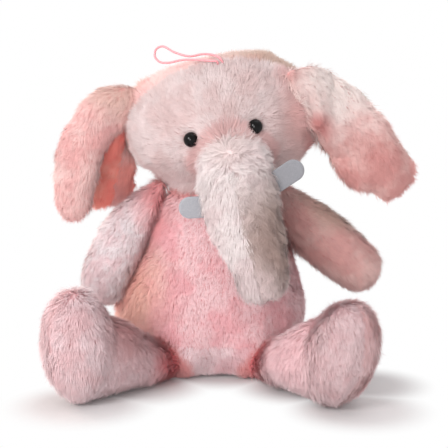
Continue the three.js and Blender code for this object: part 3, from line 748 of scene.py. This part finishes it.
# lengths and tufts in millimetres; bushy says where the fur is longer: the place, how wide, how much more
furStyles = {
    "torso": {"comb": steady(0, 0, -1), "long": 6.5, "lift": 0.66, "tuft": 3.2, "gather": 0.5, "wave": 0.3,
              "bushy": [((-0.084, -0.005, 0.05), 0.04, 1.2), ((-0.046, -0.012, 0.14), 0.025, 0.8)]},
    "head": {"comb": headComb, "long": 9.5, "lift": 0.47, "tuft": 4.4, "gather": 0.42, "wave": 0.2,
             "bushy": [(onHead(1, -64, -2), 0.016, 0.3)]},
    "trunk": {"comb": trunkComb, "long": 10, "lift": 0.48, "tuft": 4.8, "gather": 0.45, "wave": 0.2,
              "bushy": [((0.008, -0.095, 0.078), 0.03, 0.35), (onHead(1, -64, -2), 0.022, 0.2)]},
    "ear_left": {"comb": steady(-0.45, 0, -1), "long": 8, "lift": 0.48, "tuft": 4.2, "gather": 0.38,
                 "wave": 0.3, "bushy": [((-0.108, 0.0, 0.14), 0.03, 0.5)]},
    "ear_right": {"comb": steady(0.6, 0, -0.8), "long": 8, "lift": 0.46, "tuft": 4.2, "gather": 0.36,
                  "wave": 0.4, "bushy": [((0.1, -0.02, 0.158), 0.03, 0.4)]},
    "arm_left": {"comb": steady(-0.4, -0.1, -0.8), "long": 8.5, "lift": 0.54, "tuft": 4.6, "gather": 0.5,
                 "wave": 0.3, "bushy": [((-0.05, -0.012, 0.142), 0.028, 0.6)]},
    "arm_right": {"comb": steady(0.75, -0.1, -0.6), "long": 9, "lift": 0.5, "tuft": 4.4, "gather": 0.5,
                  "wave": 0.25},
    "leg_left": {"comb": legComb(-43, None), "long": 9.5, "lift": 0.5, "tuft": 4.6, "gather": 0.45,
                 "wave": 0.2,
                 "bushy": [((-0.088, -0.05, 0.062), 0.03, 0.5), ((-0.041, -0.073, 0.022), 0.03, 0.4)]},
    "leg_right": {"comb": legComb(34, atAngle(40, 124, 92)), "long": 8.8, "lift": 0.43, "tuft": 4.2,
                  "gather": 0.34, "wave": 0.2, "bushy": [((0.027, -0.073, 0.019), 0.03, 0.5)]},
    "tail": {"comb": steady(0, 1, -0.3), "long": 6, "lift": 0.5, "tuft": 4, "gather": 0.3, "wave": 0.1},
}
strand = {
    "perSquareMillimetre": 2.62, "mostFaces": 190000, "rings": 3, "wavyRings": 4, "wavyFrom": 0.5,
    "width": 0.46 * mm, "taper": ((0, 0.5, 1), (1, 0.9, 0.1)), "roll": 0.6, "uneven": 0.2,
    # where it stands: not deep in a seam, and only a share of it underneath
    "sewnDepth": 16 * mm, "underside": 2.5 * mm, "shareUnderneath": 0.3, "sunk": 0.4 * mm,
    "clear": 0.35 * mm,
    # how the comb and the lengths wander: how wide, how much and the seed
    "wander": [(24 * mm, 0.4, 11), (6 * mm, 0.35, 23)], "waves": (12 * mm, 0.15, 37),
    # longer beside a neighbour, and shorter at a seam and round an eye: how much, from and to
    "beside": (0.15, skinSpec["touching"], 10 * mm), "atSeam": (-0.2, 0.5 * mm, 4 * mm),
    "atEye": (-0.5, 4.9 * mm, 12.74 * mm), "bushyCore": 0.3,
    "liftSpread": 0.1, "liftRange": (0.25, 0.95), "arch": (1.15, 0.25), "lean": 1.4, "turn": 0.18,
    "sway": 0.4, "phase": 6.3, "curl": 4.5, "tuftSeed": 51, "mostPull": 4 * mm, "draw": 1.3,
    # painted shade: darker at a seam and beside a neighbour, between these distances
    "seamed": 0.25, "seamShade": (0.5 * mm, 2.5 * mm), "besideShade": (1 * mm, 8 * mm),
    "rounding": 0.45, "cellMargin": (0.15, 0.08), "cellHeight": 3,
}
eyeSpots = [(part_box(node)[0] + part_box(node)[1]) / 2 for node in ("eye_left", "eye_right")]


def rootsOn(skin, panelIndex, density, most, rng):
    # scattered roots on one panel of a skin, with what the skin knows there
    mesh = skin["obj"].data
    corners = triangleCorners(mesh)
    corners = corners[skin["panel"][corners[:, 0]] == panelIndex]
    places = coordinates(mesh)
    a, b, c = (places[corners[:, i]] for i in range(3))
    areas = lengths(np.cross(b - a, c - a)) / 2
    count = int(min(areas.sum() / mm ** 2 * density, most))
    picked = corners[rng.choice(len(corners), size=count, p=areas / areas.sum())]
    u, v = rng.random(count), rng.random(count)
    over = u + v > 1
    u[over], v[over] = 1 - u[over], 1 - v[over]
    weights = np.stack([1 - u - v, u, v], axis=1)[..., None]
    values = np.column_stack([places, vertexNormals(mesh), skin["gap"], skin["seam"], skin["sewn"]])
    spread = (values[picked] * weights).sum(axis=1)
    return spread[:, :3], unit(spread[:, 3:6]), spread[:, 6], spread[:, 7], spread[:, 8]


def strandMesh(name, lines, widths, normals, roll):
    # flat tapered strands: lines is (strands, rings, 3), and the last ring is the tip
    count, rings = lines.shape[:2]
    tangents = unit(np.gradient(lines, axis=1))
    # the small sum gives a side to a strand that stands straight up
    across = unit(np.cross(normals[:, None, :], tangents) + np.array([1e-5, 2e-5, 3e-5]))
    upward = np.cross(tangents, across)
    across = across * np.cos(roll)[:, None, None] + upward * np.sin(roll)[:, None, None]
    half = across[:, :-1] * widths[:, :-1, None] / 2
    pairs = np.stack([lines[:, :-1] - half, lines[:, :-1] + half], axis=2)
    each = 2 * (rings - 1) + 1
    points = np.concatenate([pairs.reshape(count, -1, 3), lines[:, -1:]], axis=1)
    faces, spots = [], []
    for r in range(rings - 2):
        left, right = 2 * r, 2 * r + 1
        faces += [(left, left + 2, right + 2), (left, right + 2, right)]
        spots += [((0, r), (0, r + 1), (1, r + 1)), ((0, r), (1, r + 1), (1, r))]
    faces.append((each - 3, each - 1, each - 2))
    spots.append(((0, rings - 2), (0.5, rings - 1), (1, rings - 2)))
    corners = (np.array(faces)[None] + (np.arange(count) * each)[:, None, None]).astype(np.int32)
    mesh = bpy.data.meshes.new(name)
    mesh.vertices.add(count * each)
    mesh.vertices.foreach_set("co", points.ravel())
    mesh.loops.add(corners.size)
    mesh.loops.foreach_set("vertex_index", corners.ravel())
    mesh.polygons.add(corners.size // 3)
    mesh.polygons.foreach_set("loop_start", np.arange(0, corners.size, 3, dtype=np.int32))
    mesh.update(calc_edges=True)
    mesh.shade_smooth()
    # each strand has a cell of its own on the map, root at the bottom
    columns = math.ceil(math.sqrt(count * strand["cellHeight"]))
    rows = math.ceil(count / columns)
    number, spots = np.arange(count)[:, None, None], np.array(spots, float)[None]
    besideIt, belowIt = strand["cellMargin"]
    u = (number % columns + besideIt + (1 - 2 * besideIt) * spots[..., 0]) / columns
    v = (number // columns + belowIt + (1 - 2 * belowIt) * spots[..., 1] / (rings - 1)) / rows
    layer = mesh.uv_layers.new(name="OFBake")
    layer.data.foreach_set("uv", np.stack([u, v], axis=-1).ravel().astype(np.float32))
    # a strand is lit much as the coat it lies in
    rounded = np.stack([-across[:, :-1], across[:, :-1]], axis=2) * strand["rounding"]
    rounded += normals[:, None, None, :]
    bent = np.concatenate([unit(rounded).reshape(count, -1, 3), normals[:, None]], axis=1)
    mesh.normals_split_custom_set_from_vertices(bent.reshape(-1, 3).tolist())
    return mesh, each


def toNearestEye(points):
    # seen from the front, so the fur parts all along an eye's shank
    return np.min([lengths((points - np.array(spot))[:, [0, 2]]) for spot in eyeSpots], axis=0)


def uneven(rng, count):
    # numbers spread evenly about 1
    return 1 + strand["uneven"] * (2 * rng.random(count) - 1)


def strandLengths(style, roots, gap, seam, toEye, rng):
    long = style["long"] * mm * uneven(rng, len(roots))
    wide, much, seed = strand["waves"]
    long *= 1 + much * softNoise(roots, wide, seed)
    for rule, far in (("beside", gap), ("atSeam", seam), ("atEye", toEye)):
        much, low, high = strand[rule]
        long *= 1 + much * fade(far, low, high)
    for place, size, more in style.get("bushy", []):
        long *= 1 + more * closeTo(roots, place, size, strand["bushyCore"])
    return long


def combed(style, roots, normals):
    comb = unit(flatOn(style["comb"](roots), normals))
    for wide, much, seed in strand["wander"]:
        comb += much * noiseVectors(roots, wide, seed)
    return unit(flatOn(comb, normals))


def gathered(style, roots, normals):
    # how far a strand is drawn to the middle of its tuft, and a number of the tuft's own
    centre, own = nearestCentre(roots, style["tuft"] * mm, strand["tuftSeed"])
    pull = flatOn(centre - roots, normals)
    reach = lengths(pull)[:, None]
    return pull * np.minimum(reach, strand["mostPull"]) / np.maximum(reach, 1e-9) * style["gather"], own


def strandLines(style, roots, normals, long, along, rng):
    # each strand leans along its comb, arches over and ends in its tuft
    count = len(roots)
    comb = combed(style, roots, normals)
    pull, own = gathered(style, roots, normals)
    lift = np.clip(style["lift"] + strand["liftSpread"] * rng.standard_normal(count), *strand["liftRange"])
    turn = rng.standard_normal(count) * strand["turn"]
    side = np.cross(normals, comb)
    rise, fall = strand["arch"]
    lines = np.empty((count, len(along), 3))
    for i, t in enumerate(along):
        up = long * lift * (rise * t - fall * t * t) - strand["sunk"]
        out = long * np.sqrt(1 - lift ** 2) * t ** strand["lean"]
        sway = style["wave"] * strand["sway"] * np.sin(own * strand["phase"] + strand["curl"] * t)
        swing = long * (turn + sway) * t
        lines[:, i] = roots + normals * up[:, None] + comb * out[:, None] + side * swing[:, None]
        lines[:, i] += pull * t ** strand["draw"]
    lines[..., 2] = np.maximum(lines[..., 2], strand["clear"])
    return lines, own


def growFur(body, panelIndex, node, seed):
    skin, style = skins[body], {**furStyles[body], **furs[node]}
    rng = np.random.default_rng(seed)
    rings = strand["wavyRings"] if style["wave"] > strand["wavyFrom"] else strand["rings"]
    density = strand["perSquareMillimetre"] * style.get("density", 1)
    most = strand["mostFaces"] / (2 * rings - 3)
    roots, normals, gap, seam, sewn = rootsOn(skin, panelIndex, density, most, rng)
    toEye = toNearestEye(roots) if body == "head" else np.full(len(roots), np.inf)
    bare = (roots[:, 2] < strand["underside"]) & (rng.random(len(roots)) > strand["shareUnderneath"])
    keep = (sewn < strand["sewnDepth"]) & ~bare & (toEye > strand["atEye"][1])
    roots, normals, gap, seam, toEye = (values[keep] for values in (roots, normals, gap, seam, toEye))
    count, along = len(roots), np.linspace(0, 1, rings)
    long = strandLengths(style, roots, gap, seam, toEye, rng)
    lines, own = strandLines(style, roots, normals, long, along, rng)
    widths = (strand["width"] * uneven(rng, count))[:, None] * np.interp(along, *strand["taper"])
    roll = strand["roll"] * (2 * rng.random(count) - 1)
    mesh, each = strandMesh(node + "_plush", lines, widths, normals, roll)
    setAttribute(mesh, "along", np.tile(np.append(np.repeat(along[:-1], 2), 1.0), count))
    setAttribute(mesh, "tone", np.repeat((rng.random(count) + own) / 2, each))
    # painted shade along a seam and beside a neighbour, kept in the deep attribute
    creaseShade = style.get("seamed", strand["seamed"]) * fade(seam, *strand["seamShade"])
    setAttribute(mesh, "deep", np.repeat(np.maximum(fade(gap, *strand["besideShade"]), creaseShade), each))
    mesh.materials.append(furs[node]["material"])
    return meshObject(node + "_plush", mesh), count


# what a limb is sewn to, and where along it its seam begins and ends
bends = {
    "trunk": ("head", onHead(3, -60, 0), onHead(4, -74, -38)),
    "ear_left": ("head", onHead(-70, -14, 30), onHead(-92, -15, 26)),
    "ear_right": ("head", onHead(64, -38, 22), onHead(92, -20, 8)),
    "arm_left": ("torso", Vector((-46, -5, 146)) * mm, Vector((-60, -8, 128)) * mm),
    "arm_right": ("torso", Vector((46, -5, 143)) * mm, Vector((64, -8, 129)) * mm),
    "leg_left": ("torso", atAngle(-43, 62, 25), atAngle(-43, 88, 25)),
    "leg_right": ("torso", atAngle(34, 60, 25), atAngle(34, 86, 25)),
    "tail": ("torso", Vector((0, 60, 52)) * mm, Vector((0, 74, 50)) * mm),
}


def follow(obj, body):
    if body in bends:
        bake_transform(obj)
    else:
        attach(obj, body)


def growAll():
    total = 0
    for body, skin in skins.items():
        for index, node in enumerate(skin["covers"]):
            fur, count = growFur(body, index, node, len(furs) + total)
            follow(fur, body)
            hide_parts(node)
            total += count
    print("fur", total, "strands")


growAll()


# ---- backings: the knitted cloth that the pile stands on

backing = {
    "looks": {"torso": pink, "head": pale, "trunk": white, "ear_left": peach, "ear_right": peach,
              "arm_left": lilac, "arm_right": peach, "leg_left": mauve, "leg_right": mauve, "tail": pink},
    "along": 0.25, "tone": 0.4, "patches": 0.4, "fill": 0.8,
}


def finishBackings():
    for body, skin in skins.items():
        mesh, look = skin["obj"].data, {**backing["looks"][body], "Patch Amount": backing["patches"]}
        setAttribute(mesh, "along", backing["along"])
        setAttribute(mesh, "tone", backing["tone"])
        # painted shade in the cloth beside a neighbour
        setAttribute(mesh, "deep", fade(skin["gap"], *skinSpec["beside"]))
        mesh.materials.clear()
        mesh.materials.append(furMaterial(body + "Backing", look))
        follow(skin["obj"], body)
    print("backings", len(skins))


finishBackings()


# ---- eyes: glossy black beads on a shank

eye = {
    "bulge": 0.92, "backFlatness": 0.45, "shank": 2.0 * mm, "segments": 40, "rings": 24, "shankSides": 20,
    "black": rgb("070606"), "lighter": rgb("0b090a"), "cloud": 300.0, "roughness": (0.05, 0.11),
}


def eyeMaterial():
    material, tree = newMaterial("blackBead")
    cloud = noise(tree, objectPlace(tree), eye["cloud"])
    finishMaterial(tree, {"Base Color": mixColours(tree, cloud, eye["black"], eye["lighter"]),
                          "Roughness": between(tree, cloud, 0.3, 0.7, *eye["roughness"]),
                          "Specular IOR Level": 0.2})
    return material


def makeEye(node, material):
    low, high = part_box(node)
    radius = (high.x - low.x) / 2
    middle = Vector(((low.x + high.x) / 2, low.y + radius * eye["bulge"], (low.z + high.z) / 2))
    bpy.ops.mesh.primitive_uv_sphere_add(segments=eye["segments"], ring_count=eye["rings"], radius=radius,
                                         location=middle, rotation=(math.pi / 2, 0, 0))
    bead = bpy.context.object
    bead.name = bead.data.name = node + "_bead"
    bpy.ops.object.transform_apply(location=False, rotation=True, scale=False)
    for vertex in bead.data.vertices:
        vertex.co.y *= eye["bulge"] if vertex.co.y < 0 else eye["backFlatness"]
    inMode("EDIT")
    bpy.ops.mesh.primitive_cylinder_add(vertices=eye["shankSides"], radius=eye["shank"],
                                        depth=high.y - middle.y, rotation=(math.pi / 2, 0, 0),
                                        location=(middle.x, (high.y + middle.y) / 2, middle.z))
    inMode("OBJECT")
    applyPlace()
    bead.data.shade_smooth()
    bead.data.materials.append(material)
    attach(bead, "head")
    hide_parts(node)


beadMaterial = eyeMaterial()
for node in ("eye_left", "eye_right"):
    makeEye(node, beadMaterial)
print("eyes")


# ---- tusks: stiff felt with round ends

tusk = {
    "width": 17.5 * mm, "length": 25 * mm, "inset": 10 * mm, "thickness": 3 * mm, "edge": 0.9 * mm,
    "bow": 0.6 * mm, "turn": 12, "sides": 48, "edgeSteps": 4, "voxel": 0.6 * mm, "fibres": 900.0,
    "clouds": 160.0, "cloudiness": 0.4, "relief": 0.4 * mm,
    "tusk_left": {"side": -1, "root": (-21.5, -67, -58), "rise": 10,
                  "dark": "87898f", "light": "b0b0b5", "clouded": "95979d"},
    # the right tusk is the same felt as the left, painted darker as the shade it lies in
    "tusk_right": {"side": 1, "root": (34, -67, -49), "rise": 24,
                   "dark": "737479", "light": "9a9a9f", "clouded": "808186"},
}


def feltMaterial(node):
    spec = tusk[node]
    material, tree = newMaterial(node + "Felt")
    place = objectPlace(tree)
    fibres = noise(tree, place, tusk["fibres"], detail=6.0, roughness=0.7)
    clouds = noise(tree, place, tusk["clouds"], detail=3.0)
    colour = mixColours(tree, fibres, rgb(spec["dark"]), rgb(spec["light"]))
    share = calculate(tree, "MULTIPLY", clouds, tusk["cloudiness"])
    finishMaterial(tree, {
        "Base Color": mixColours(tree, share, colour, rgb(spec["clouded"])), "Roughness": 0.95,
        "Sheen Weight": 0.3, "Sheen Roughness": 0.5, "Specular IOR Level": 0.1,
        "Normal": bumps(tree, fibres, strength=0.6, distance=tusk["relief"])})
    return material


def makeTusk(node):
    spec = tusk[node]
    half, side = tusk["width"] / 2, spec["side"]
    bpy.ops.mesh.primitive_circle_add(vertices=tusk["sides"], radius=half, fill_type="NGON",
                                      location=(0, 0, 0), rotation=(math.pi / 2, 0, 0))
    plate = bpy.context.object
    plate.name = plate.data.name = node + "_felt"
    applyPlace()
    for vertex in plate.data.vertices:
        # one half of the circle is the round end, the other is drawn back to the root
        inner = vertex.co.x * side < -1e-7
        vertex.co.x += side * (-tusk["inset"] + half if inner else tusk["length"] - half)
    inMode("EDIT")
    bpy.ops.mesh.select_all(action="SELECT")
    bpy.ops.mesh.extrude_region_move(TRANSFORM_OT_translate={"value": (0, tusk["thickness"], 0)})
    bpy.ops.mesh.select_all(action="SELECT")
    bpy.ops.transform.translate(value=(0, -tusk["thickness"] / 2, 0))
    bpy.ops.mesh.normals_make_consistent(inside=False)
    inMode("OBJECT")
    applyModifier(plate, "BEVEL", width=tusk["edge"], segments=tusk["edgeSteps"])
    applyModifier(plate, "REMESH", mode="VOXEL", voxel_size=tusk["voxel"])
    applyModifier(plate, "SMOOTH", factor=0.5, iterations=2)
    for vertex in plate.data.vertices:
        vertex.co.y += tusk["bow"] * (vertex.co.x / tusk["length"]) ** 2
    plate.matrix_world = (headFrame @ Matrix.Translation(Vector(spec["root"]) * mm)
                          @ Matrix.Rotation(math.radians(-spec["rise"] * side), 4, "Y")
                          @ Matrix.Rotation(math.radians(-tusk["turn"] * side), 4, "Z"))
    applyPlace()
    plate.data.shade_smooth()
    plate.data.materials.append(feltMaterial(node))
    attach(plate, "trunk")
    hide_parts(node)


for node in ("tusk_left", "tusk_right"):
    makeTusk(node)
print("tusks")


# ---- inside: fibre filling, a bag of pellets and the eyes' washers

insides = {
    "fibre": {"low": rgb("dedbd2"), "high": rgb("faf9f4"), "scale": 90.0, "bump": 1.5 * mm},
    "pellets": {"low": rgb("cfcabc"), "high": rgb("e8e4d8"), "scale": 700.0, "bump": 0.3 * mm},
    "plastic": {"low": rgb("dcdad2"), "high": rgb("e6e4de"), "scale": 40.0, "bump": 0.02 * mm},
    "lump": 14 * mm, "lumpDepth": 0.8 * mm, "seed": 91, "voxel": 4 * mm, "smoothing": 6, "fill": 0.6,
}


def insideMaterial(name):
    spec = insides[name]
    material, tree = newMaterial(name)
    strands = noise(tree, objectPlace(tree), spec["scale"], detail=8.0, roughness=0.6)
    finishMaterial(tree, {
        "Base Color": mixColours(tree, strands, spec["low"], spec["high"]), "Roughness": 0.85,
        "Normal": bumps(tree, strands, strength=0.6, distance=spec["bump"])})
    return material


def makeFilling(body, node, material):
    stuffing = roundedCopy(node + "_stuffing", [node], insides)
    places = coordinates(stuffing.data)
    lumps = insides["lumpDepth"] * (1 + softNoise(places, insides["lump"], insides["seed"]))
    moveVertices(stuffing.data, places - vertexNormals(stuffing.data) * lumps[:, None])
    stuffing.data.materials.append(material)
    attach(stuffing, body)
    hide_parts(node)


def makeInsides():
    fibre, pellets, plastic = (insideMaterial(name) for name in ("fibre", "pellets", "plastic"))
    for body, nodes in bodies.items():
        for node in nodes:
            if "filling" in node:
                makeFilling(body, node, fibre)
            if "pellet" in node:
                makeFilling(body, node, pellets)
            if "washer" in node:
                frame["nodes"][node].material_slots[0].material = plastic


makeInsides()
print("insides")


# ---- floor, backdrop and light

studio = {
    "floor": 6.0, "floorColour": (0.68, 0.66, 0.665, 1.0), "shade": 0.038, "sky": 0.82, "aim": (0, 0, 0.12),
}
# where the toy is close to the floor, so that its shadow stays there: the place and how wide
footprint = [((0.0, 0.01), 0.065), ((-0.07, -0.07), 0.03), ((-0.108, -0.125), 0.027), ((0.06, -0.075), 0.02),
             ((0.105, -0.135), 0.025), ((0.12, -0.07), 0.02)]
lamps = {
    "key": {"at": (-0.8, -1.15, 0.75), "size": 0.6, "power": 11.5, "colour": (1.0, 0.99, 0.98)},
    "front": {"at": (-0.3, -1.3, 0.3), "size": 0.5, "power": 5.5, "colour": (1.0, 0.97, 0.96)},
    "top": {"at": (0.4, 0.0, 1.6), "size": 1.2, "power": 4, "colour": (1.0, 1.0, 1.0)},
    "glow": {"at": (-0.9, 0.55, 0.4), "size": 0.5, "power": 6, "colour": (1.0, 0.8, 0.7)},
}


def seenBy(tree, *rays):
    # 1 for these kinds of ray, and 0 for the rest
    path, seen = addNode(tree, "LightPath").outputs, 0.0
    for ray in rays:
        seen = calculate(tree, "MAXIMUM", seen, path[f"Is {ray} Ray"])
    return seen


def makeFloor():
    # a plain floor that takes the shadow, and turns to plain white away from the toy
    material, tree = newMaterial("whiteFloor")
    seen = seenBy(tree, "Camera", "Glossy", "Transmission")
    place, away = objectPlace(tree), 1.0
    for (x, y), size in footprint:
        beyond = calculate(tree, "SUBTRACT", apart(tree, place, (x, y, 0.0)), size)
        away = calculate(tree, "MINIMUM", away, beyond)
    blank = calculate(tree, "MULTIPLY", seen, between(tree, away, 0.0, studio["shade"]))
    base = addNode(tree, "BsdfDiffuse", {"Color": studio["floorColour"]})
    glow = addNode(tree, "Emission", {"Color": (1, 1, 1, 1), "Strength": 1.0})
    both = addNode(tree, "MixShader", {0: blank, 1: base.outputs[0], 2: glow.outputs[0]})
    addNode(tree, "OutputMaterial", {"Surface": both.outputs[0]})
    bpy.ops.mesh.primitive_plane_add(size=studio["floor"] * 2)
    floor = bpy.context.object
    floor.name = "floor"
    floor.data.materials.append(material)


def makeLight():
    world = bpy.data.worlds.new("world")
    scene.world = world
    world.use_nodes = True
    tree = world.node_tree
    tree.nodes.clear()
    strength = between(tree, seenBy(tree, "Camera", "Transmission"), 0.0, 1.0, studio["sky"], 1.0)
    sky = addNode(tree, "Background", {"Color": (1, 1, 1, 1), "Strength": strength})
    addNode(tree, "OutputWorld", {"Surface": sky.outputs[0]})
    for name, lamp in lamps.items():
        bpy.ops.object.light_add(type="AREA", location=lamp["at"])
        light = bpy.context.object
        light.name = name
        light.data.shape = "DISK"
        light.data.size = lamp["size"]
        light.data.energy = lamp["power"]
        light.data.color = lamp["colour"]
        light.rotation_mode = "QUATERNION"
        light.rotation_quaternion = (Vector(studio["aim"]) - light.location).to_track_quat("-Z", "Y")


makeFloor()
makeLight()
scene.view_settings.view_transform = "Standard"
